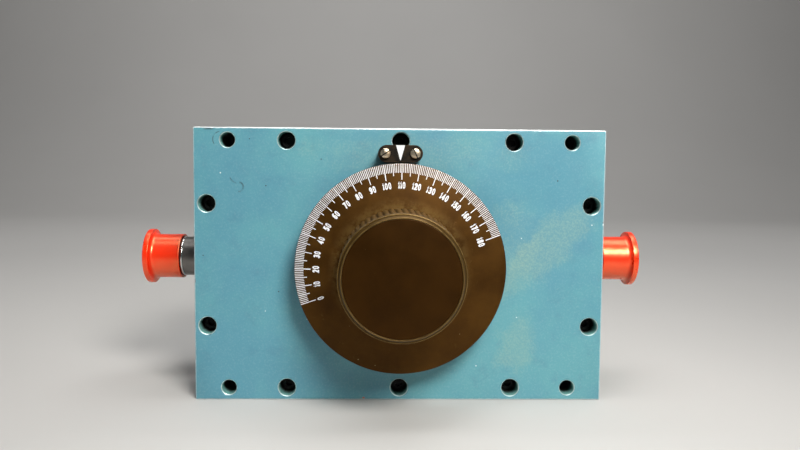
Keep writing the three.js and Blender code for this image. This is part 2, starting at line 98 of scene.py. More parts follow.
KNOB_BASE_R, KNOB_FRONT_R, KNOB_BACK, KNOB_HEIGHT = 22.0, 21.1, 14.1, 36.8
KNOB_RING_R, KNOB_FACE_R, KNOB_FACE_THICK = 19.75, 19.44, 2.4
KNOB_SET_HEIGHT, KNOB_SET_R, KNOB_SET_ANGLES = 20.0, 1.9, (200, 290)
KNOB_SET_INNER, KNOB_SET_OUTER = 3.4, 23
KNOB_SHOULDER, KNOB_GROOVE_R = KNOB_HEIGHT - 1.15, KNOB_FRONT_R - 0.35
KNOB_GRIP_HEIGHTS = [KNOB_BACK + 0.4, KNOB_BACK + 1.2, 20.0, 26.0, 31.0, 32.2]
FLUTES, FLUTE_DEEP, FLUTE_TWIST = 60, 0.55, 3.8
STEPS_PER_FLUTE = 12

POINTER_LONG, POINTER_WIDE, POINTER_HEIGHT = 16.0, 6.1, 9.0
POINTER_X, POINTER_Y = -0.3, 41.25
POINTER_MARK_WIDE, POINTER_MARK_LONG = 3.2, 5.3
POINTER_SCREW_X, POINTER_HEAD_R, POINTER_HEAD = 5.35, 1.78, 1.3
POINTER_SHANK_R, POINTER_SHANK_LONG, POINTER_DOME = 1.15, 6, 0.45
POINTER_SLOTS, POINTER_SLOT_HALF, POINTER_SLOT_DEEP = (33, -66), 0.2, 0.5

# ---------------- places
FACE = (Matrix.Translation((AXIS.x, 0, AXIS.z)) @ Matrix.Rotation(math.pi / 2, 4, "X")
        @ Matrix.Scale(MM, 4))


def port_place(side):
    """The port frame of the left or right port: its z axis points out of that side."""
    half_turn = math.pi if side == "left" else 0
    return (Matrix.Translation((0, 0, AXIS.z)) @ Matrix.Rotation(half_turn, 4, "Z")
            @ Matrix.Rotation(math.pi / 2, 4, "Y") @ Matrix.Scale(MM, 4))


# ---------------- mesh helpers
def polar(angle, radius):
    """The flat point at an angle, in degrees, and a radius."""
    return radius * math.cos(math.radians(angle)), radius * math.sin(math.radians(angle))


def soften(profile, radius, steps=4):
    """Rounds the inner corners of an open [r, z] profile with short curves."""
    points = [Vector(point) for point in profile]
    result = [points[0]]
    for before, corner, after in zip(points, points[1:], points[2:]):
        to_before = before - corner
        to_after = after - corner
        reach = min(radius, 0.45 * to_before.length, 0.45 * to_after.length)
        start = corner + to_before.normalized() * reach
        end = corner + to_after.normalized() * reach
        for step in range(steps + 1):
            t = step / steps
            result.append(start.lerp(corner, t).lerp(corner.lerp(end, t), t))
    result.append(points[-1])
    return [(point.x, point.y) for point in result]


def lathe(profile, sides=128, radius_at=None):
    """A turned solid about z. radius_at(row, r, z, angle) may change a point's radius."""
    bm = bmesh.new()
    closed = profile[0] == profile[-1]
    points = profile[:-1] if closed else profile
    rings = []
    for row, (r, z) in enumerate(points):
        if r < 1e-6:
            rings.append([bm.verts.new((0, 0, z))])
            continue
        ring = []
        for step in range(sides):
            angle = 2 * math.pi * step / sides
            radius = radius_at(row, r, z, angle) if radius_at else r
            ring.append(bm.verts.new((radius * math.cos(angle), radius * math.sin(angle), z)))
        rings.append(ring)
    pairs = list(zip(rings, rings[1:]))
    if closed:
        pairs.append((rings[-1], rings[0]))
    for low, high in pairs:
        for step in range(sides):
            after = (step + 1) % sides
            corners = [low[step % len(low)], low[after % len(low)],
                       high[after % len(high)], high[step % len(high)]]
            unique = list(dict.fromkeys(corners))
            if len(unique) > 2:
                bm.faces.new(unique)
    return bm


def prism(outline, back, front):
    """A flat outline of (x, y) points pushed from one z to another."""
    bm = bmesh.new()
    low = [bm.verts.new((x, y, back)) for x, y in outline]
    high = [bm.verts.new((x, y, front)) for x, y in outline]
    bm.faces.new(reversed(low))
    bm.faces.new(high)
    for step in range(len(outline)):
        after = (step + 1) % len(outline)
        bm.faces.new((low[step], low[after], high[after], high[step]))
    return bm


def merged(parts):
    """Several bmeshes, each with an (x, y, z) offset, as one."""
    bm = bmesh.new()
    for part, offset in parts:
        bmesh.ops.translate(part, verts=part.verts, vec=offset)
        piece = bpy.data.meshes.new("part")
        part.to_mesh(piece)
        part.free()
        bm.from_mesh(piece)
        bpy.data.meshes.remove(piece)
    return bm


def bevelled(bm, width, segments=2, angle=40):
    """Rounds every edge sharper than the angle."""
    edges = [edge for edge in bm.edges
             if len(edge.link_faces) == 2 and edge.calc_face_angle() > math.radians(angle)]
    bmesh.ops.bevel(bm, geom=edges, offset=width, segments=segments, profile=0.5,
                    affect="EDGES", clamp_overlap=True)
    return bm


def linked(name, data):
    """A new object in the scene for a mesh, a light or a camera."""
    item = bpy.data.objects.new(name, data)
    bpy.context.scene.collection.objects.link(item)
    return item


def to_object(name, bm, place, materials, sharp=32):
    """Turns a bmesh in millimetres into an object in the row frame, smooth up to an angle."""
    bmesh.ops.recalc_face_normals(bm, faces=bm.faces)
    bm.transform(place)
    mesh = bpy.data.meshes.new(name)
    bm.to_mesh(mesh)
    bm.free()
    for material in materials:
        mesh.materials.append(material)
    mesh.shade_smooth()
    mesh.set_sharp_from_angle(angle=math.radians(sharp))
    return linked(name, mesh)


def cut(piece, bm, place, materials, sharp):
    """Takes a bmesh away from a piece. Cut faces keep the cutter's materials."""
    cutter = to_object(piece.name + "_cutter", bm, place, materials)
    modifier = piece.modifiers.new("cut", "BOOLEAN")
    modifier.operation = "DIFFERENCE"
    modifier.solver = "EXACT"
    modifier.material_mode = "TRANSFER"
    modifier.object = cutter
    graph = bpy.context.evaluated_depsgraph_get()
    mesh = bpy.data.meshes.new_from_object(piece.evaluated_get(graph))
    piece.modifiers.clear()
    old = piece.data
    piece.data = mesh
    bpy.data.meshes.remove(old)
    bpy.data.objects.remove(cutter)
    mesh.name = piece.name
    mesh.shade_smooth()
    mesh.set_sharp_from_angle(angle=math.radians(sharp))


def settle(piece, body, slot, *nodes):
    """Rides a finished piece on its body and hides the CAD nodes it stands for."""
    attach(piece, body)
    if nodes:
        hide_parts(*nodes)


# ---------------- material helpers
class Shader:
    """A principled material and short calls that add nodes to it."""

    def __init__(self, name):
        self.material = bpy.data.materials.new(name)
        self.material.use_nodes = True
        self.tree = self.material.node_tree
        self.surface = self.tree.nodes["Principled BSDF"]
        self.position = self.tree.nodes.new("ShaderNodeTexCoord").outputs["Object"]

    def feed(self, socket, value):
        """Links a socket, or writes a constant into it."""
        if isinstance(value, bpy.types.NodeSocket):
            self.tree.links.new(value, socket)
        else:
            socket.default_value = value

    def set(self, **values):
        """Feeds inputs of the surface, named with underscores for spaces."""
        for name, value in values.items():
            self.feed(self.surface.inputs[name.replace("_", " ")], value)
        return self

    def math(self, operation, a, b=0.0, c=0.0):
        node = self.tree.nodes.new("ShaderNodeMath")
        node.operation = operation
        for socket, value in zip(node.inputs, (a, b, c)):
            self.feed(socket, value)
        return node.outputs[0]

    def noise(self, scale, detail=3.0, rough=0.5, vector=None, stretch=None):
        """A noise value, over the position unless a vector is given."""
        node = self.tree.nodes.new("ShaderNodeTexNoise")
        node.inputs["Scale"].default_value = scale
        node.inputs["Detail"].default_value = detail
        node.inputs["Roughness"].default_value = rough
        source = vector or self.position
        if stretch:
            mapping = self.tree.nodes.new("ShaderNodeMapping")
            mapping.inputs["Scale"].default_value = stretch
            self.tree.links.new(source, mapping.inputs["Vector"])
            source = mapping.outputs["Vector"]
        self.tree.links.new(source, node.inputs["Vector"])
        return node.outputs["Fac"]

    def spots(self, scale, share, size):
        """A mask of round specks: the share of cells that have one, and its size in a cell."""
        node = self.tree.nodes.new("ShaderNodeTexVoronoi")
        node.inputs["Scale"].default_value = scale
        self.tree.links.new(self.position, node.inputs["Vector"])
        chosen = self.math("LESS_THAN", self.split(node.outputs["Color"])[0], share)
        near = self.span(node.outputs["Distance"], size, size * 0.5, 0.0, 1.0)
        return self.times(chosen, near)

    def split(self, vector):
        node = self.tree.nodes.new("ShaderNodeSeparateXYZ")
        self.tree.links.new(vector, node.inputs[0])
        return node.outputs

    def join(self, x, y, z):
        node = self.tree.nodes.new("ShaderNodeCombineXYZ")
        for socket, value in zip(node.inputs, (x, y, z)):
            self.feed(socket, value)
        return node.outputs[0]

    def span(self, value, from_low, from_high, to_low=0.0, to_high=1.0):
        """Maps one range smoothly on to another, and holds its ends."""
        node = self.tree.nodes.new("ShaderNodeMapRange")
        node.interpolation_type = "SMOOTHSTEP"
        for socket, item in zip(node.inputs, (value, from_low, from_high, to_low, to_high)):
            self.feed(socket, item)
        return node.outputs["Result"]

    def mix(self, share, a, b):
        """The share of colour b laid over colour a."""
        node = self.tree.nodes.new("ShaderNodeMix")
        node.data_type = "RGBA"
        self.feed(node.inputs[0], share)
        self.feed(node.inputs[6], colour(a))
        self.feed(node.inputs[7], colour(b))
        return node.outputs[2]

    def rough(self, tone, low, high):
        """Lets the roughness follow a noise."""
        self.set(Roughness=self.span(tone, 0.3, 0.7, low, high))

    def bump(self, height, distance, strength=1.0):
        """Raises the surface by a height, in metres."""
        node = self.tree.nodes.new("ShaderNodeBump")
        node.inputs["Strength"].default_value = strength
        node.inputs["Distance"].default_value = distance
        self.tree.links.new(height, node.inputs["Height"])
        self.tree.links.new(node.outputs[0], self.surface.inputs["Normal"])
        return self

    def times(self, a, b):
        return self.math("MULTIPLY", a, b)

    def minus(self, a, b):
        return self.math("SUBTRACT", a, b)

    def squares(self, a, b):
        """The sum of two squares."""
        return self.math("ADD", self.times(a, a), self.times(b, b))

    def radius(self):
        """Distance from the shaft axis, in metres."""
        x, _, z = self.split(self.position)
        return self.math("SQRT", self.squares(x, self.minus(z, AXIS.z)))


def colour(value):
    """Adds an alpha to a plain colour and leaves a socket as it is."""
    if isinstance(value, tuple) and len(value) == 3:
        return (*value, 1.0)
    return value


def srgb(r, g, b):
    """A display colour, 0 to 255, as linear light."""
    channels = []
    for value in (r, g, b):
        c = value / 255
        channels.append(c / 12.92 if c <= 0.04045 else ((c + 0.055) / 1.055) ** 2.4)
    return tuple(channels)


# ---------------- materials
PAINT = srgb(86, 146, 164)
PAINT_GREEN = srgb(95, 158, 168)
PAINT_DUST = srgb(160, 184, 160)
PAINT_DARK = srgb(72, 118, 142)
BARE = srgb(236, 244, 244)
GRIME = srgb(40, 36, 30)
RUST = srgb(214, 106, 40)

# Flaws on the front, in millimetres from the axis: (x, up, radius, half width, from, to) of the
# curved scratches, with their ends in degrees, (x, up, reach, reach, turn, strength) of the dusty
# films, and (x, up, half width, half height, colour) of the chips and spots.
SCRATCHES = [(-60.3, 32.6, 2.2, 0.5, -170, -95), (-59.6, 28.9, 1.7, 0.55, -95, 80),
             (-66.0, 46.2, 2.9, 0.3, 100, 215)]
HAZES = [(54, 6, 27, 11, 42, 0.34), (43, -28, 10, 14, 10, 0.3), (43, 10, 10, 16, 0, 0.24),
         (6, 41, 46, 9, 0, 0.16)]
MARKS = [(-72.8, 3.5, 0.3, 0.3, GRIME), (-45.0, -9.9, 0.3, 0.35, GRIME),
         (-49.6, 29.4, 0.35, 0.3, GRIME), (58.4, 32.0, 0.35, 0.4, GRIME),
         (-55.5, 46.5, 0.25, 0.3, GRIME), (45.3, 10.5, 0.25, 0.25, BARE),
         (44.0, -19.3, 0.3, 0.25, BARE), (75.85, 16.6, 0.35, 0.45, GRIME),
         (75.9, 15.8, 0.35, 0.45, BARE), (-75.8, -6.0, 0.25, 1.2, GRIME),
         (-13.3, -50.1, 0.6, 0.5, RUST),
         (-66.2, 34.0, 0.3, 0.35, BARE), (71.6, 15.6, 0.3, 0.3, BARE),
         (-70.4, 50.0, 2.6, 0.3, GRIME), (29.0, -37.8, 0.3, 0.3, BARE)]


def edge_distance(shader, low, high):
    """Distance along the surface to the nearest edge of a box: the middle one of three gaps."""
    gaps = [shader.math("MINIMUM", shader.minus(axis, near), shader.minus(far, axis))
            for axis, near, far in zip(shader.split(shader.position), low, high)]
    less = shader.math("MINIMUM", gaps[0], gaps[1])
    more = shader.math("MAXIMUM", gaps[0], gaps[1])
    return shader.math("MAXIMUM", less, shader.math("MINIMUM", more, gaps[2]))


def face_offset(shader, x, z):
    """How far a point is along and up from a place on the front face, in metres."""
    px, _, pz = shader.split(shader.position)
    return shader.minus(px, x * MM), shader.minus(pz, AXIS.z + z * MM)


def part_along(shader, along, up, turn):
    """The part of a flat offset that lies along a direction, given in degrees."""
    angle = math.radians(turn)
    return shader.math("MULTIPLY_ADD", up, math.sin(angle), shader.times(along, math.cos(angle)))


def patch(shader, x, z, reach_x, reach_z, turn=0, ragged=0.0):
    """A soft oval mask on the front face, about a point given in millimetres from the axis."""
    along, up = face_offset(shader, x, z)
    across = shader.math("DIVIDE", part_along(shader, along, up, turn), reach_x * MM)
    away = shader.math("DIVIDE", part_along(shader, along, up, turn + 90), reach_z * MM)
    squares = shader.squares(across, away)
    if ragged:
        squares = shader.math("MULTIPLY_ADD", shader.noise(90, 5, 0.6), ragged, squares)
    return shader.span(squares, 0.1 + ragged * 0.5, 1.0 + ragged * 0.5, 1.0, 0.0)


def arc_scratch(shader, x, z, radius, half_wide, start, end):
    """A curved scratch on the front face: part of a thin ring about a point."""
    along, up = face_offset(shader, x, z)
    reach = shader.math("SQRT", shader.squares(along, up))
    off = shader.math("ABSOLUTE", shader.minus(reach, radius * MM))
    line = shader.span(off, 0.0, half_wide * MM, 1.0, 0.0)
    facing = part_along(shader, along, up, (start + end) / 2)
    end_cos = math.cos(math.radians((end - start) / 2))
    inside = shader.span(shader.math("DIVIDE", facing, radius * MM), end_cos - 0.1, end_cos + 0.1)
    broken = shader.span(shader.noise(420, 3, 0.7), 0.35, 0.55, 0.3, 1.0)
    return shader.times(shader.times(line, inside), broken)


def painted(name, low, high, worn_front):
    """Satin blue enamel: mottled, specked, worn through along its box's edges, and paler still along
    the top edge as a painted highlight.
    """
    shader = Shader(name)
    clouds = shader.noise(20, 4, 0.6)
    base = shader.mix(shader.span(clouds, 0.38, 0.66), PAINT, PAINT_GREEN)
    mottle = shader.noise(150, 5, 0.65)
    base = shader.mix(shader.span(mottle, 0.5, 0.78, 0.0, 0.3), base, PAINT_DARK)
    grain = shader.noise(1500, 2, 0.6)
    base = shader.mix(shader.span(grain, 0.45, 0.75, 0.0, 0.05), base, BARE)
    if worn_front:
        film = shader.span(shader.noise(1500, 4, 0.7), 0.42, 0.62, 0.45, 1.0)
        for x, z, reach_x, reach_z, turn, strength in HAZES:
            haze = patch(shader, x, z, reach_x, reach_z, turn, 3.0)
            haze = shader.times(shader.times(haze, film), strength)
            base = shader.mix(haze, base, PAINT_DUST)
        for x, z, radius, wide, start, end in SCRATCHES:
            scratch = arc_scratch(shader, x, z, radius, wide, start, end)
            base = shader.mix(shader.times(scratch, 0.7), base, GRIME)
        for x, z, reach_x, reach_z, tint in MARKS:
            spot = patch(shader, x, z, reach_x, reach_z)
            base = shader.mix(shader.times(spot, 0.85), base, tint)
    base = shader.mix(shader.times(shader.spots(260, 0.08, 0.08), 0.6), base, BARE)
    base = shader.mix(shader.times(shader.spots(170, 0.06, 0.07), 0.5), base, GRIME)
    ragged = shader.span(shader.noise(600, 4, 0.7), 0.3, 0.7, -0.06 * MM, 0.1 * MM)
    edge = shader.minus(edge_distance(shader, low, high), ragged)
    worn = shader.span(edge, 0.36 * MM, 0.52 * MM, 1.0, 0.0)
    # Full pale edge colour along the top edge and 0.35 of it on the other edges: real wear
    # everywhere, plus a painted highlight of the top chamfer.
    _, _, height = shader.split(shader.position)
    top = shader.span(height, high.z - 1.2 * MM, high.z - 0.6 * MM, 0.35, 1.0)
    worn = shader.times(worn, top)
    shader.set(Base_Color=shader.mix(worn, base, BARE))
    shader.set(Metallic=shader.times(worn, 0.3))
    shader.rough(shader.noise(90, 4, 0.6), 0.38, 0.5)
    return shader.bump(shader.noise(900, 3, 0.6), 0.02 * MM, 0.6).material


def bare_edge():
    """The pale mouth of a hole, where a tool has cut into the paint."""
    shader = Shader("bare_edge")
    tone = shader.noise(700, 3, 0.6)
    shader.set(Base_Color=shader.mix(tone, srgb(226, 242, 240), srgb(182, 210, 212)))
    shader.set(Metallic=0.65)
    shader.rough(tone, 0.3, 0.42)
    return shader.bump(tone, 0.01 * MM).material


def hole_wall():
    """The wall of a drilled hole: paint overspray just inside the front, then near-black deeper in
    as painted shade of the hole's depth.
    """
    shader = Shader("hole_wall")
    tone = shader.noise(600, 4, 0.7)
    # Near-black for the wall deeper in: painted shade, not the wall's own colour.
    base = shader.mix(tone, srgb(34, 32, 28), srgb(14, 13, 12))
    _, y, _ = shader.split(shader.position)
    depth = shader.minus(y, PLATE_LOW.y)
    sprayed = shader.span(depth, 1.5 * MM, 6.0 * MM, 0.95, 0.0)
    shader.set(Base_Color=shader.mix(sprayed, base, srgb(112, 168, 164)))
    shader.rough(tone, 0.5, 0.75)
    return shader.bump(tone, 0.02 * MM).material


def dial_metal(name, dark, light, rub, rough_low, rough_high, rings, handled):
    """Aged anodised metal with fine lathe rings, and how far it is worn lighter beside the grip."""
    shader = Shader(name)
    radius = shader.radius()
    turning = shader.noise(rings, 2, 0.7, vector=shader.join(radius, 0.0, 0.0))
    blotch = shader.noise(70, 5, 0.65)
    base = shader.mix(shader.span(blotch, 0.3, 0.7), dark, light)
    base = shader.mix(shader.span(turning, 0.3, 0.75, 0.0, 0.25), base, light)
    worn = shader.span(shader.noise(420, 5, 0.75), 0.6, 0.78, 0.0, 0.5)
    base = shader.mix(worn, base, rub)
    near = shader.span(radius, (KNOB_BASE_R + 0.5) * MM, (KNOB_BASE_R + 4.5) * MM, handled, 0.0)
    near = shader.times(near, shader.span(shader.noise(300, 5, 0.75), 0.35, 0.6))
    base = shader.mix(near, base, rub)
    dust = shader.times(shader.spots(330, 0.08, 0.10), 0.5)
    shader.set(Base_Color=shader.mix(dust, base, srgb(190, 170, 130)))
    shader.set(Metallic=0.6, Specular_IOR_Level=0.15)
    shader.rough(blotch, rough_low, rough_high)
    height = shader.math("ADD", turning, shader.times(shader.noise(1400, 2), 0.5))
    return shader.bump(height, 0.012 * MM, 0.7).material


def knurl_metal():
    """The grip: the same finish, lighter on the crests of its flutes and darker in their hollows,
    with two pale lines round the ring at its face: painted highlights and painted shade.
    """
    shader = Shader("knob_grip")
    _, y, _ = shader.split(shader.position)
    proud = shader.minus(PLATE_LOW.y, y)
    slope = (KNOB_BASE_R - KNOB_FRONT_R) / (KNOB_HEIGHT - KNOB_BACK)
    surface = shader.minus((KNOB_BASE_R + slope * KNOB_BACK) * MM, shader.times(proud, slope))
    sunk = shader.minus(surface, shader.radius())
    crest_highlight = shader.span(sunk, 0.05 * MM, (FLUTE_DEEP * 0.75) * MM, 1.0, 0.0)
    tone = shader.noise(240, 5, 0.7)
    # Dark in the flute hollows and light on the crests: painted shade and painted highlight.
    base = shader.mix(crest_highlight, srgb(36, 22, 6), srgb(112, 86, 46))
    base = shader.mix(shader.span(tone, 0.45, 0.75, 0.0, 0.5), base, srgb(132, 106, 64))
    on_ring = shader.span(proud, (KNOB_SHOULDER - 0.1) * MM, KNOB_SHOULDER * MM)
    base = shader.mix(on_ring, base, srgb(84, 62, 26))
    # Two pale lines at the outer and inner corners of the ring round the face: painted highlights of
    # those rounded corners.
    for highlight_radius in (KNOB_FRONT_R - 0.1, KNOB_RING_R + 0.05):
        off = shader.math("ABSOLUTE", shader.minus(shader.radius(), highlight_radius * MM))
        line = shader.times(shader.span(off, 0.1 * MM, 0.26 * MM, 0.7, 0.0), on_ring)
        line = shader.times(line, shader.span(tone, 0.35, 0.6, 0.3, 1.0))
        base = shader.mix(line, base, srgb(126, 102, 58))
    shader.set(Base_Color=base, Metallic=0.6, Specular_IOR_Level=0.3)
    shader.rough(tone, 0.34, 0.5)
    return shader.bump(shader.noise(1600, 3, 0.6), 0.02 * MM).material


def mark_paint():
    """White fill in engraved lines, slightly yellowed and chipped."""
    shader = Shader("mark_paint")
    tone = shader.noise(800, 4, 0.7)
    base = shader.mix(shader.span(tone, 0.3, 0.7), srgb(240, 242, 246), srgb(224, 226, 228))
    gaps = shader.span(shader.noise(2100, 3, 0.6), 0.70, 0.76, 0.0, 0.6)
    shader.set(Base_Color=shader.mix(gaps, base, srgb(120, 98, 66)), Roughness=0.6)
    return shader.bump(tone, 0.02 * MM).material


def black_oxide():
    """The thin dark finish of the screws."""
    shader = Shader("black_oxide")
    tone = shader.noise(500, 5, 0.7)
    shader.set(Base_Color=shader.mix(tone, srgb(12, 11, 10), srgb(26, 22, 18)),
               Metallic=0.5)
    shader.rough(tone, 0.35, 0.6)
    return shader.bump(shader.noise(1800, 3), 0.015 * MM).material


def pointer_finish():
    """Black paint gone brown, thin on the corners."""
    shader = Shader("pointer_finish")
    tone = shader.noise(330, 5, 0.7)
    base = shader.mix(shader.span(tone, 0.35, 0.7), srgb(14, 9, 5), srgb(50, 35, 13))
    low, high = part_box("pointer_block")
    edge = edge_distance(shader, low, high)
    worn = shader.times(shader.span(edge, 0.1 * MM, 0.3 * MM, 1.0, 0.0),
                        shader.span(shader.noise(900, 3), 0.5, 0.62, 0.0, 0.5))
    shader.set(Base_Color=shader.mix(worn, base, srgb(104, 84, 52)), Metallic=0.3)
    shader.set(Specular_IOR_Level=0.3)
    shader.rough(tone, 0.4, 0.6)
    return shader.bump(shader.noise(1300, 3), 0.02 * MM).material


def turned_metal(name, bright, dull, low, high):
    """Plain machined metal with a patchy tarnish."""
    shader = Shader(name)
    tone = shader.noise(260, 5, 0.7)
    fine = shader.noise(2400, 2, 0.6, stretch=(1.0, 0.15, 1.0))
    shader.set(Base_Color=shader.mix(shader.span(tone, 0.35, 0.72), bright, dull))
    shader.set(Metallic=1.0)
    shader.rough(tone, low, high)
    return shader.bump(fine, 0.01 * MM, 0.8).material


def neck_metal():
    """Dark satin connector body with turning rings across its axis."""
    shader = Shader("neck_metal")
    x, _, _ = shader.split(shader.position)
    rings = shader.noise(3000, 2, 0.7, vector=shader.join(x, 0.0, 0.0))
    tone = shader.noise(240, 4, 0.6)
    shader.set(Base_Color=shader.mix(tone, srgb(136, 132, 128), srgb(98, 95, 92)), Metallic=0.85)
    shader.rough(tone, 0.32, 0.46)
    return shader.bump(rings, 0.012 * MM, 0.8).material


def insulator():
    """Machined white dielectric."""
    shader = Shader("insulator")
    tone = shader.noise(180, 4, 0.6)
    shader.set(Base_Color=shader.mix(tone, srgb(238, 234, 222), srgb(220, 214, 198)))
    shader.rough(tone, 0.42, 0.6)
    return shader.bump(shader.noise(1500, 2), 0.02 * MM).material


def cap_plastic():
    """Soft red-orange polyethylene that glows a little through its thin wall."""
    shader = Shader("cap_plastic")
    tone = shader.noise(120, 4, 0.6)
    base = shader.mix(shader.span(tone, 0.3, 0.7), srgb(255, 44, 2), srgb(252, 32, 2))
    scuffs = shader.span(shader.noise(700, 5, 0.8), 0.62, 0.74, 0.0, 0.2)
    shader.set(Base_Color=shader.mix(scuffs, base, srgb(255, 130, 70)))
    shader.rough(tone, 0.27, 0.34)
    shader.set(Specular_Tint=(1.0, 0.95, 0.45, 1.0), Specular_IOR_Level=1.0, IOR=1.7)
    shader.set(Subsurface_Weight=0.2, Subsurface_Scale=1.5 * MM)
    shader.set(Subsurface_Radius=(1.0, 0.3, 0.1))
    return shader.bump(shader.noise(260, 3), 0.05 * MM, 0.5).material


PAINTED_FRONT = painted("paint_front", PLATE_LOW, PLATE_HIGH, True)
PAINTED_FRAME = painted("paint_frame", FRAME_LOW, FRAME_HIGH, False)
PAINTED_BACK = painted("paint_back", BACK_LOW, BACK_HIGH, False)
BARE_EDGE = bare_edge()
HOLE_WALL = hole_wall()
DIAL_FINISH = dial_metal("dial_finish", srgb(62, 38, 8), srgb(82, 54, 16),
                         srgb(116, 92, 50), 0.42, 0.56, 2600, 0.42)
FACE_FINISH = dial_metal("knob_face_finish", srgb(48, 27, 2), srgb(58, 34, 3),
                         srgb(70, 48, 14), 0.4, 0.5, 1200, 0.0)
GRIP_FINISH = knurl_metal()
MARK_PAINT = mark_paint()
BLACK_OXIDE = black_oxide()
POINTER_FINISH = pointer_finish()
BRIGHT_STEEL = turned_metal("bright_steel", srgb(240, 226, 200), srgb(178, 150, 116), 0.24, 0.44)
POLISHED_STEEL = turned_metal("polished_steel", srgb(226, 224, 220), srgb(180, 177, 170),
                              0.14, 0.22)
SHAFT_STEEL = turned_metal("shaft_steel", srgb(205, 205, 200), srgb(160, 158, 150), 0.25, 0.4)
NECK_METAL = neck_metal()
BRASS = turned_metal("brass", srgb(226, 186, 110), srgb(176, 134, 70), 0.22, 0.4)
BRONZE = turned_metal("bronze", srgb(166, 122, 72), srgb(112, 78, 44), 0.4, 0.6)
INSULATOR = insulator()
CAP_PLASTIC = cap_plastic()


# ---------------- box plates
def plate(name, back, front, paint):
    """A full-size block of the housing between two depths."""
    bm = bmesh.new()
    bmesh.ops.create_cube(bm, size=1)
    bmesh.ops.scale(bm, vec=(WIDTH, HEIGHT, front - back), verts=bm.verts)
    bmesh.ops.translate(bm, vec=(0, 0, (back + front) / 2), verts=bm.verts)
    return to_object(name + "_fine", bevelled(bm, EDGE, 3), FACE, [paint], PLATE_SHARP)


def drill(piece, bm, place=FACE):
    """Takes holes out of a plate."""
    cut(piece, bm, place, [HOLE_WALL, BARE_EDGE], PLATE_SHARP)


def rod(radius, back, front):
    """The profile of a plain round bar."""
    return [(0, back), (radius, back), (radius, front), (0, front)]


def hole_cutter(profile, mouths):
    """A turned cutter whose faces near the listed z values are the bare mouth of the hole."""
    bm = lathe(profile, 64)
    bmesh.ops.recalc_face_normals(bm, faces=bm.faces)
    for face in bm.faces:
        centre = face.calc_center_median()
        at_mouth = any(abs(centre.z - mouth) < MOUTH for mouth in mouths)
        face.material_index = 1 if at_mouth else 0
    return bm


def counterbore(back):
    """Cuts a screw's head bore and shank hole, with a pale mouth at the front."""
    floor = FRONT - BORE_DEEP
    return hole_cutter([(0, back - 1), (SHANK_R, back - 1), (SHANK_R, floor), (BORE_R, floor),
                        (BORE_R, FRONT - MOUTH), (BORE_R + 2 * MOUTH, FRONT + MOUTH),
                        (0, FRONT + MOUTH)], [FRONT])


def through_hole(back, front, flare_back, flare_front):
    """Cuts a long corner hole, flared where it comes out of the box."""
    wide = CORNER_R + 2 * MOUTH
    profile = rod(CORNER_R, back - MOUTH, front + MOUTH)
    if flare_front:
        profile[2:3] = [(CORNER_R, front - MOUTH), (wide, front + MOUTH)]
    if flare_back:
        profile[1:2] = [(wide, back - MOUTH), (CORNER_R, back + MOUTH)]
    mouths = [z for z, flared in ((back, flare_back), (front, flare_front)) if flared]
    return hole_cutter(profile, mouths)


def holes(cutter, places):
    """One copy of a cutter for each place."""
    parts = [(cutter.copy(), (x, y, 0)) for x, y in places]
    cutter.free()
    return parts


def front_plate():
    """The plate that carries the bores, the dial and the pointer."""
    piece = plate("front_plate", INNER, FRONT, PAINTED_FRONT)
    parts = holes(counterbore(INNER), SCREW_PLACES)
    parts += holes(through_hole(INNER, FRONT, False, True), CORNER_PLACES)
    parts.append((hole_cutter(rod(BUSH_HOLE_R, INNER - 1, FRONT + 1), []), (0, 0, 0)))
    drill(piece, merged(parts))
    settle(piece, "housing", "blue_paint", "front_plate")


def back_plate():
    """The plain rear plate."""
    back, front = -BACK_HIGH.y / MM, -BACK_LOW.y / MM
    piece = plate("back_plate", back, front, PAINTED_BACK)
    drill(piece, merged(holes(through_hole(back, front, True, False), CORNER_PLACES)))
    settle(piece, "housing", "blue_paint", "back_plate")


def housing_frame():
    """The thick middle plate, with the cavity and the two port holes."""
    back, front = -FRAME_HIGH.y / MM, -FRAME_LOW.y / MM
    piece = plate("housing_frame", back, front, PAINTED_FRAME)
    middle_x, middle_y = CAVITY_WIDE / 2 - CAVITY_R, CAVITY_HIGH / 2 - CAVITY_R
    outline = []
    for turn, right, up in ((0, 1, 1), (90, -1, 1), (180, -1, -1), (270, 1, -1)):
        outline += arc(right * middle_x, up * middle_y, CAVITY_R, CAVITY_R, turn, turn + 90)
    cut(piece, prism(outline, back - 1, front + 1), FACE, [HOLE_WALL], PLATE_SHARP)
    shaft = hole_cutter(rod(CORNER_R, back - 1, front + 1), [])
    cut(piece, merged(holes(shaft, CORNER_PLACES)), FACE, [HOLE_WALL], PLATE_SHARP)
    outside, inside = WIDTH / 2, CAVITY_WIDE / 2 - 1
    step = outside - PORT_STEP
    for side in ("left", "right"):
        port = hole_cutter([(0, inside), (COAX_R, inside), (COAX_R, step), (PORT_HOLE_R, step),
                            (PORT_HOLE_R, outside - 0.2), (PORT_HOLE_R + 0.4, outside + 0.2),
                            (0, outside + 0.2)], [outside])
        drill(piece, port, port_place(side))
    settle(piece, "housing", "blue_paint", "housing_frame")


# ---------------- cap screws
SCREW_HEAD_R, SCREW_HEAD, SCREW_SHANK_R, SCREW_LIFT = 2.87, 3.4, 1.75, 0.1
SOCKET_ACROSS, SOCKET_DEEP = 2.78, 1.8
HEAD_RIDGES, HEAD_RIDGE_DEEP = 36, 0.1


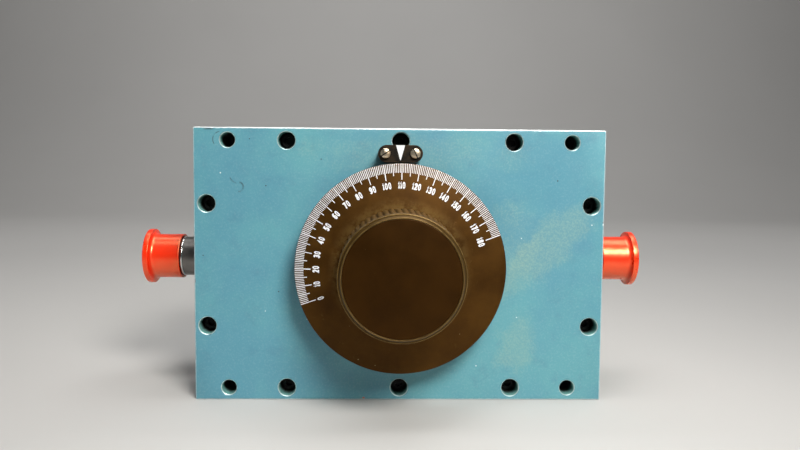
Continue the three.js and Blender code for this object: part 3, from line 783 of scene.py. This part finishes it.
def cap_screw(index, x, y):
    """A socket-head cap screw, its head knurled and its hexagon turned at random."""
    node = f"plate_screw_{index + 1:02d}"
    seat = FRONT - BORE_DEEP + SCREW_LIFT
    top = seat + SCREW_HEAD
    tip = -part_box(node)[1].y / MM
    profile = soften([(0, tip), (SCREW_SHANK_R, tip), (SCREW_SHANK_R, seat), (SCREW_HEAD_R, seat),
                      (SCREW_HEAD_R, top), (0, top)], 0.35)

    def knurled(_row, r, z, angle):
        on_side = r > SCREW_HEAD_R - 0.01 and seat + 0.4 < z < top - 0.3
        ridge = (1 + math.cos(HEAD_RIDGES * angle)) / 2
        return r - HEAD_RIDGE_DEEP * ridge if on_side else r

    turn = random.random() * 60
    body = merged([(lathe(profile, 4 * HEAD_RIDGES, knurled), (x, y, 0))])
    piece = to_object(node + "_fine", body, FACE, [BLACK_OXIDE])
    corner = SOCKET_ACROSS / math.sqrt(3)
    outline = [polar(turn + 60 * side, corner) for side in range(6)]
    socket = merged([(prism(outline, top - SOCKET_DEEP, top + 1), (x, y, 0))])
    cut(piece, socket, FACE, [BLACK_OXIDE], 30)
    settle(piece, "housing", "black_oxide", node)


# ---------------- dial
def dial_height(r):
    """How far the dial's front stands out of the plate at a radius."""
    rim_start = DIAL_R - DIAL_EDGE
    if r > rim_start:
        return DIAL_RIM_FRONT - (r - rim_start)
    share = (rim_start - r) / (rim_start - DIAL_TOP_R)
    return DIAL_RIM_FRONT + (DIAL_TOP - DIAL_RIM_FRONT) * share


def dial_skirt():
    """The turned dial, sloping from its raised middle to its rim."""
    crown = DIAL_TOP - DIAL_WEB
    rim = DIAL_R - DIAL_EDGE
    shaft_r = (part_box("shaft")[1].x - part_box("shaft")[0].x) / 2 / MM
    bore = shaft_r + 0.3
    profile = [(bore, DIAL_HUB_BACK), (DIAL_HUB_R, DIAL_HUB_BACK), (DIAL_HUB_R, crown),
               (DIAL_TOP_R, crown), (DIAL_R - 1, DIAL_RIM_BACK), (DIAL_R, DIAL_RIM_BACK + 0.6),
               (DIAL_R, dial_height(DIAL_R)), (rim, DIAL_RIM_FRONT), (DIAL_TOP_R, DIAL_TOP),
               (bore, DIAL_TOP)]
    profile = [(r, FRONT + z) for r, z in soften(profile, 0.12, 3)]
    piece = to_object("dial_skirt_fine", lathe(profile + [profile[0]], 288), FACE, [DIAL_FINISH])
    settle(piece, "dial", "dial_finish", "dial_skirt")


def mark_angle(unit):
    """Where a unit's mark lies, in degrees from the right, on the dial at rest."""
    return 90 + (DIAL_AT_REST - unit)


def on_dial(bm, across, outward, angle):
    """The lower and upper point of a mark, at a place near (0, radius) turned to an angle."""
    turn = math.radians(angle - 90)
    x = across * math.cos(turn) - outward * math.sin(turn)
    y = across * math.sin(turn) + outward * math.cos(turn)
    height = FRONT + dial_height(math.hypot(x, y))
    return (bm.verts.new((x, y, height - MARK_SUNK)), bm.verts.new((x, y, height + MARK_PROUD)))


def ribbon(bm, rows, angle, closed=False):
    """A thin raised band on the dial between pairs of (across, outward) points."""
    pairs = [(on_dial(bm, *left, angle), on_dial(bm, *right, angle)) for left, right in rows]
    spans = list(zip(pairs, pairs[1:]))
    if closed:
        spans.append((pairs[-1], pairs[0]))
    for (left, right), (next_left, next_right) in spans:
        bm.faces.new((left[1], right[1], next_right[1], next_left[1]))
        bm.faces.new((left[0], next_left[0], next_right[0], right[0]))
        bm.faces.new((left[0], left[1], next_left[1], next_left[0]))
        bm.faces.new((right[0], next_right[0], next_right[1], right[1]))
    if not closed:
        for left, right in (pairs[0], pairs[-1]):
            bm.faces.new((left[0], right[0], right[1], left[1]))


def dial_ticks():
    """The scale's lines, each a little uneven, as engraving is."""
    bm = bmesh.new()
    for unit in range(DIAL_UNITS + 1):
        kind = 10 if unit % 10 == 0 else 5 if unit % 5 == 0 else 1
        half = TICK_WIDE[kind] / 2 * random.uniform(0.9, 1.08)
        inner = TICK_INNER_R[kind] + random.uniform(-0.06, 0.06)
        stops = [inner, (inner + DIAL_R) / 2, DIAL_R - DIAL_EDGE, MARK_OUTER_R]
        rows = [((-half, r), (half, r)) for r in stops]
        ribbon(bm, rows, mark_angle(unit))
    piece = to_object("dial_ticks", bm, FACE, [MARK_PAINT])
    settle(piece, "dial", "dial_marks")


def arc(cx, cy, rx, ry, start, end, steps=12):
    """Points of an oval arc, in degrees."""
    angles = [math.radians(start + (end - start) * step / steps) for step in range(steps + 1)]
    return [(cx + rx * math.cos(a), cy + ry * math.sin(a)) for a in angles]


# Each numeral's strokes, in a box one unit wide and one unit high.
NUMERALS = {
    "0": [arc(0.5, 0.68, 0.5, 0.32, 0, 180) + arc(0.5, 0.32, 0.5, 0.32, 180, 360) + [(1, 0.68)]],
    "1": [[(0.0, 0.78), (0.72, 1.0), (0.72, 0.0)]],
    "2": [arc(0.5, 0.72, 0.48, 0.28, 165, -25) + [(0.04, 0.0), (1.0, 0.0)]],
    "3": [arc(0.48, 0.75, 0.44, 0.25, 150, -90), arc(0.48, 0.26, 0.5, 0.26, 90, -150)],
    "4": [[(0.76, 0.0), (0.76, 1.0), (0.0, 0.28), (1.0, 0.28)]],
    "5": [[(0.94, 1.0), (0.14, 1.0), (0.08, 0.56)] + arc(0.48, 0.31, 0.5, 0.31, 125, -150)],
    "6": [arc(0.6, 0.6, 0.58, 0.4, 65, 190) + [(0.02, 0.3)],
          arc(0.5, 0.3, 0.48, 0.3, 0, 360)],
    "7": [[(0.02, 1.0), (0.98, 1.0), (0.36, 0.0)]],
    "8": [arc(0.5, 0.76, 0.42, 0.24, -90, 270), arc(0.5, 0.27, 0.49, 0.27, 90, 450)],
    "9": [arc(0.4, 0.4, 0.58, 0.4, 245, 370) + [(0.98, 0.7)],
          arc(0.5, 0.7, 0.48, 0.3, 0, 360)],
}


def stroke_end(tip, before, row, half):
    """The narrower pair of points that rounds a stroke off just past its tip."""
    beyond = (tip - before).normalized() * half * 0.75
    return [corner + (tip - corner) * 0.45 + beyond for corner in row]


def stroke_rows(path, half):
    """Pairs of edge points along a stroke, mitred at its bends, with rounded ends."""
    if (path[0] - path[1]).length < 1e-6:
        path = path[1:]
    rows = []
    last = len(path) - 1
    for index, point in enumerate(path):
        into = (point - path[index - 1]).normalized() if index else None
        out = (path[index + 1] - point).normalized() if index < last else None
        along = ((into or out) + (out or into)).normalized()
        across = Vector((-along.y, along.x))
        straight = Vector((-(out or into).y, (out or into).x))
        reach = half / max(0.55, across.dot(straight))
        rows.append([point + across * reach, point - across * reach])
    rows.insert(0, stroke_end(path[0], path[1], rows[0], half))
    rows.append(stroke_end(path[-1], path[-2], rows[-1], half))
    return rows


def digit_wide(digit):
    """The width of a numeral."""
    return NUMBER_WIDE.get(digit, NUMBER_WIDE_OTHERS)


def draw_numeral(bm, digit, left, base_r, angle):
    """Draws one numeral as bands on the dial."""
    inset = STROKE_HALF
    wide = digit_wide(digit) - 2 * inset
    high = NUMBER_HIGH - 2 * inset
    for stroke in NUMERALS[digit]:
        points = [Vector((left + inset + x * wide, base_r + inset + y * high))
                  for x, y in stroke]
        is_ring = (points[0] - points[-1]).length < 1e-6
        if is_ring:
            points = points[:-1]
            centre = sum(points, Vector((0, 0))) / len(points)
            outs = [(point - centre).normalized() * STROKE_HALF for point in points]
            rows = [(point + out, point - out) for point, out in zip(points, outs)]
            ribbon(bm, rows, angle, closed=True)
        else:
            ribbon(bm, stroke_rows(points, STROKE_HALF), angle)


def dial_numbers():
    """A number at every tenth line, centred on it."""
    bm = bmesh.new()
    for unit in range(0, DIAL_UNITS + 1, 10):
        text = str(unit)
        total = sum(digit_wide(digit) for digit in text) + NUMBER_GAP * (len(text) - 1)
        left = -total / 2
        for digit in text:
            draw_numeral(bm, digit, left, NUMBER_TOP_R - NUMBER_HIGH, mark_angle(unit))
            left += digit_wide(digit) + NUMBER_GAP
    piece = to_object("dial_numbers", bm, FACE, [MARK_PAINT])
    settle(piece, "dial", "dial_marks")


# ---------------- knob
def knob():
    """The fluted grip, with a groove and a ring round its face."""
    seat = KNOB_HEIGHT - KNOB_FACE_THICK - 0.3
    lip = KNOB_FACE_R + 0.06
    slope = (KNOB_BASE_R - KNOB_FRONT_R) / (KNOB_SHOULDER - KNOB_BACK)
    side = [(KNOB_BASE_R - slope * (height - KNOB_BACK), height) for height in KNOB_GRIP_HEIGHTS]
    groove = [(0.05, 0.1), (-0.1, -0.05), (-0.25, 0.2)]
    top = soften([side[-1], (KNOB_FRONT_R, KNOB_SHOULDER),
                  *((KNOB_GROOVE_R + r, KNOB_SHOULDER + z) for r, z in groove),
                  (KNOB_RING_R + 0.15, KNOB_HEIGHT), (lip + 0.05, KNOB_HEIGHT),
                  (lip, KNOB_HEIGHT - 0.35)], 0.12)
    rows = [(0, KNOB_BACK), (KNOB_BASE_R - 0.5, KNOB_BACK)] + side + top[1:] + [
        (lip, seat), (0, seat)]
    first, last = 2, len(side)

    def fluted(row, r, z, angle):
        if not first <= row <= last:
            return r
        turned = angle + math.radians(FLUTE_TWIST) * (z - FRONT - KNOB_BACK) / KNOB_HEIGHT
        wave = abs(math.sin(turned * FLUTES / 2))
        return r - FLUTE_DEEP * (1 - wave) ** 1.4

    bm = lathe([(r, FRONT + z) for r, z in rows], FLUTES * STEPS_PER_FLUTE, fluted)
    piece = to_object("knob_fine", bm, FACE, [GRIP_FINISH], 42)
    for angle in KNOB_SET_ANGLES:
        hole = lathe(rod(KNOB_SET_R, KNOB_SET_INNER, KNOB_SET_OUTER), 32)
        place = (FACE @ Matrix.Translation((0, 0, FRONT + KNOB_SET_HEIGHT))
                 @ Matrix.Rotation(math.radians(angle), 4, "Z")
                 @ Matrix.Rotation(math.pi / 2, 4, "Y"))
        cut(piece, hole, place, [BLACK_OXIDE], 42)
    settle(piece, "dial", "dial_finish", "knob")


def knob_face():
    """The plain disc let into the front of the knob."""
    profile = soften(rod(KNOB_FACE_R, KNOB_HEIGHT - KNOB_FACE_THICK, KNOB_HEIGHT), 0.18)
    piece = to_object("knob_face_fine", lathe([(r, FRONT + z) for r, z in profile], 192), FACE,
                      [FACE_FINISH], 25)
    settle(piece, "dial", "dial_finish", "knob_face")


# ---------------- pointer
def stadium(long, wide, steps=24):
    """The outline of a bar with round ends."""
    half = (long - wide) / 2
    outline = [(half + x, y) for x, y in arc(0, 0, wide / 2, wide / 2, -90, 90, steps)]
    return outline + [(x - half, y) for x, y in arc(0, 0, wide / 2, wide / 2, 90, 270, steps)]


def pointer_block():
    """The black bar over the dial's top edge."""
    back, front = FRONT + 0.1, FRONT + POINTER_HEIGHT
    bm = bevelled(prism(stadium(POINTER_LONG, POINTER_WIDE), back, front), 0.25, 3)
    bmesh.ops.translate(bm, vec=(POINTER_X, POINTER_Y, 0), verts=bm.verts)
    piece = to_object("pointer_block_fine", bm, FACE, [POINTER_FINISH], 25)
    settle(piece, "housing", "black_oxide", "pointer_block")


def pointer_mark():
    """The white triangle that points down at the scale."""
    front = FRONT + POINTER_HEIGHT
    top = POINTER_Y + POINTER_WIDE / 2 - 0.1
    half, tip = POINTER_MARK_WIDE / 2, top - POINTER_MARK_LONG
    outline = [(POINTER_X + x, y)
               for x, y in ((0.12, tip), (half, top), (-half, top), (-0.12, tip))]
    bm = bevelled(prism(outline, front - 0.1, front + 0.06), 0.04, 1)
    piece = to_object("pointer_mark", bm, FACE, [MARK_PAINT])
    settle(piece, "housing", "dial_marks")


def pointer_screw(side, sign, slot_angle):
    """A slotted screw with a low domed head."""
    node = f"pointer_screw_{side}"
    under = FRONT + POINTER_HEIGHT + 0.1
    top = under + POINTER_HEAD
    tip, brow = FRONT - POINTER_SHANK_LONG, top - POINTER_DOME
    profile = [(0, tip), (POINTER_SHANK_R, tip), (POINTER_SHANK_R, under),
               (POINTER_HEAD_R - 0.1, under), (POINTER_HEAD_R, under + 0.15), (POINTER_HEAD_R, brow)]
    dome = arc(0, brow, POINTER_HEAD_R, POINTER_DOME, 18, 72, 3)
    place = (FACE @ Matrix.Translation((POINTER_X + sign * POINTER_SCREW_X, POINTER_Y, 0))
             @ Matrix.Rotation(math.radians(slot_angle), 4, "Z"))
    piece = to_object(node + "_fine", lathe(profile + dome + [(0, top)], 96), place,
                      [BRIGHT_STEEL])
    long, half = POINTER_HEAD_R + 1, POINTER_SLOT_HALF
    slot = prism([(-long, -half), (long, -half), (long, half), (-long, half)],
                 top - POINTER_SLOT_DEEP, top + 1)
    cut(piece, slot, place, [BLACK_OXIDE], 32)
    settle(piece, "housing", "bright_steel", node)


# ---------------- ports
PORT_NECKS = {"left": 11.8, "right": 6.8}
NECK_R, THREAD_R, THREAD_LONG, THREAD_PITCH, THREAD_DEEP = 7.9, 7.85, 11.4, 1.058, 0.5
COAX_MOUTH_R, COAX_MOUTH = 4.05, 8.0
NECK_SUNK, BEAD_PROUD, BEAD_LONG = 8.2, 0.22, 1.0
CAP_MOUTH_R, CAP_SLEEVE_R, CAP_FLANGE_R, CAP_FLANGE = 8.95, 8.88, 10.95, 2.2
CAP_BORE_R, CAP_END, CAP_DISH_R, CAP_DISH, CAP_FILLET = 8.2, 2.3, 6.4, 0.7, 1.5


def connector(side):
    """A port: neck, bright bead, outer thread and open mouth."""
    neck_end = WIDTH / 2 + PORT_NECKS[side]
    back = WIDTH / 2 - NECK_SUNK
    tip = neck_end + THREAD_LONG
    mouth = tip - COAX_MOUTH
    bead = [(NECK_R + BEAD_PROUD * math.sin(turn), neck_end - BEAD_LONG * (1 + math.cos(turn)) / 2)
            for turn in (math.pi * step / 10 for step in range(11))]
    rows = [(COAX_R, back), (NECK_R, back)] + bead + [(NECK_R - 0.3, neck_end)]
    turns = int(THREAD_LONG / THREAD_PITCH * 8)
    first_thread = len(rows)
    rows += [(THREAD_R, neck_end + 0.1 + (THREAD_LONG - 0.6) * step / turns)
             for step in range(turns + 1)]
    last_thread = len(rows) - 1
    rows += [(THREAD_R - 0.5, tip), (COAX_MOUTH_R + 0.2, tip), (COAX_MOUTH_R, tip - 0.2),
             (COAX_MOUTH_R, mouth), (COAX_R, mouth)]

    def threaded(row, r, z, angle):
        if not first_thread <= row <= last_thread:
            return r
        phase = ((z - neck_end) / THREAD_PITCH - angle / (2 * math.pi)) % 1.0
        fade = min(1.0, (z - neck_end) / 1.2, (tip - z) / 0.8)
        return r - THREAD_DEEP * max(0.0, fade) * abs(2 * phase - 1)

    bm = lathe(rows + [rows[0]], 96, threaded)
    for face in bm.faces:
        height = face.calc_center_median().z
        face.material_index = 1 if neck_end - BEAD_LONG < height < neck_end else 0
    piece = to_object(f"{side}_connector_fine", bm, port_place(side),
                      [NECK_METAL, POLISHED_STEEL], 40)
    settle(piece, "housing", "connector_metal", f"{side}_connector")


def dust_cap(side):
    """A pushed-on cap: sleeve, flange and dished end."""
    mouth = WIDTH / 2 + PORT_NECKS[side] + 0.1
    end = mouth + THREAD_LONG + 0.3 + CAP_END
    flange = end - CAP_FLANGE
    inside = soften([(0, end - CAP_END), (CAP_BORE_R, end - CAP_END), (CAP_BORE_R, mouth + 0.15)],
                    0.4)
    lip = [(CAP_BORE_R + 0.15, mouth), (CAP_MOUTH_R - 0.15, mouth), (CAP_MOUTH_R, mouth + 0.15),
           (CAP_MOUTH_R, mouth + 0.5)]
    sleeve = [(CAP_SLEEVE_R - 0.06, (mouth + flange) / 2 - 0.5),
              (CAP_SLEEVE_R, flange - CAP_FILLET - 0.4)]
    fillet = arc(CAP_SLEEVE_R + CAP_FILLET, flange - CAP_FILLET, CAP_FILLET, CAP_FILLET, 180, 90, 6)
    rim = soften([fillet[-1], (CAP_FLANGE_R, flange), (CAP_FLANGE_R, end), (CAP_DISH_R + 0.6, end),
                  (CAP_DISH_R, end - CAP_DISH), (1.0, end - CAP_DISH)], 0.55, 6)
    gate = [(0.9, end - CAP_DISH + 0.25), (0.5, end - CAP_DISH + 0.35), (0, end - CAP_DISH + 0.3)]

    def hand_squeezed(_row, r, z, angle):
        sway = 1 + 0.006 * math.cos(2 * angle + 0.7) * min(1.0, (z - mouth + 2) / 12)
        return r * sway if r > CAP_BORE_R + 0.05 else r

    bm = lathe(inside + lip + sleeve + fillet[:-1] + rim + gate, 128, hand_squeezed)
    piece = to_object(f"{side}_dust_cap_fine", bm, port_place(side), [CAP_PLASTIC], 50)
    settle(piece, f"{side}_cap", "red_cap", f"{side}_dust_cap")


# ---------------- build
random.seed(7)
front_plate()
housing_frame()
back_plate()
for number, (hole_x, hole_y) in enumerate(SCREW_PLACES):
    cap_screw(number, hole_x, hole_y)
dial_skirt()
dial_ticks()
dial_numbers()
knob()
knob_face()
pointer_block()
pointer_mark()
pointer_screw("left", -1, POINTER_SLOTS[0])
pointer_screw("right", 1, POINTER_SLOTS[1])
for port_side in ("left", "right"):
    connector(port_side)
    dust_cap(port_side)

HIDDEN_MATERIALS = {
    SHAFT_STEEL: ["shaft", "wave_washer", "stop_collar", "stop_pin"],
    BRONZE: ["front_bush", "rear_bush"],
    BRASS: ["outer_line", "inner_line", "rotor_bridge", "left_contact", "right_contact"],
    INSULATOR: ["rotor_disc", "bridge_screw_1", "bridge_screw_2", "left_bead", "right_bead",
                *(f"support_post_{number}" for number in range(1, 6))],
}
NODE_MATERIALS = {name: material for material, names in HIDDEN_MATERIALS.items()
                  for name in names}
for name, node in frame["nodes"].items():
    for material_slot in node.material_slots:
        material_slot.material = NODE_MATERIALS.get(name, BLACK_OXIDE)


# ---------------- stage, lights and camera
def stage_floor():
    """A plain sweep of floor and backdrop."""
    shader = Shader("floor")
    tone = shader.noise(3, 3)
    shader.set(Base_Color=shader.mix(tone, srgb(188, 186, 183), srgb(196, 194, 191)))
    shader.set(Roughness=0.75)
    bm = bmesh.new()
    near, depth, rise, bend, half = -3.5, 1.2, 2.5, 0.8, 4.0
    profile = [(near, 0.0), *arc(depth, bend, bend, bend, -90, 0, 10), (depth + bend, rise)]
    left = [bm.verts.new((-half, y, z)) for y, z in profile]
    right = [bm.verts.new((half, y, z)) for y, z in profile]
    for step in range(len(profile) - 1):
        bm.faces.new((left[step], right[step], right[step + 1], left[step + 1]))
    floor = to_object("studio_floor", bm, Matrix.Identity(4), [shader.material], 60)


def area_light(name, place, target, size, power, tint=(1.0, 1.0, 1.0), spread=180):
    """A rectangular light aimed at a point."""
    data = bpy.data.lights.new(name, "AREA")
    data.shape = "RECTANGLE"
    data.size, data.size_y = size
    data.energy = power
    data.color = tint
    data.spread = math.radians(spread)
    light = linked(name, data)
    light.location = place
    aim = Vector(target) - Vector(place)
    light.rotation_euler = aim.to_track_quat("-Z", "Y").to_euler()


def lighting():
    """A weak sky, one key light and four soft ones."""
    world = bpy.data.worlds.new("studio")
    bpy.context.scene.world = world
    world.use_nodes = True
    background = world.node_tree.nodes["Background"]
    background.inputs["Color"].default_value = (0.9, 0.93, 0.97, 1.0)
    background.inputs["Strength"].default_value = 0.05
    middle = (0, 0, AXIS.z)
    area_light("key", (0.165, -0.43, 0.41), middle, (0.2, 0.2), 0.68, (1.0, 0.98, 0.94), 70)
    area_light("top", (0.05, -0.08, 0.9), middle, (0.8, 0.3), 4)
    area_light("left_fill", (-0.8, -0.5, 0.35), middle, (0.6, 0.5), 0.3)
    area_light("right_rim", (0.8, 0.0, 0.35), middle, (0.3, 0.5), 0.6)
    area_light("backdrop", (0.0, 0.5, 1.5), (0.0, 2.0, 0.5), (1.5, 0.5), 18)
    bpy.context.scene.view_settings.view_transform = "Standard"


CAMERA_PLACE = (-0.00607, PLATE_LOW.y - 0.2570, AXIS.z + 0.03188)
CAMERA_TURN = (86.290, -0.469, -1.305)
LENS, SENSOR = 31.24, 36.0


def camera():
    """The rendering camera."""
    data = bpy.data.cameras.new("camera")
    data.lens = LENS
    data.sensor_width = SENSOR
    data.clip_start = 0.005
    viewer = linked("camera", data)
    viewer.location = CAMERA_PLACE
    viewer.rotation_euler = [math.radians(angle) for angle in CAMERA_TURN]
    bpy.context.scene.camera = viewer


camera()
stage_floor()
lighting()
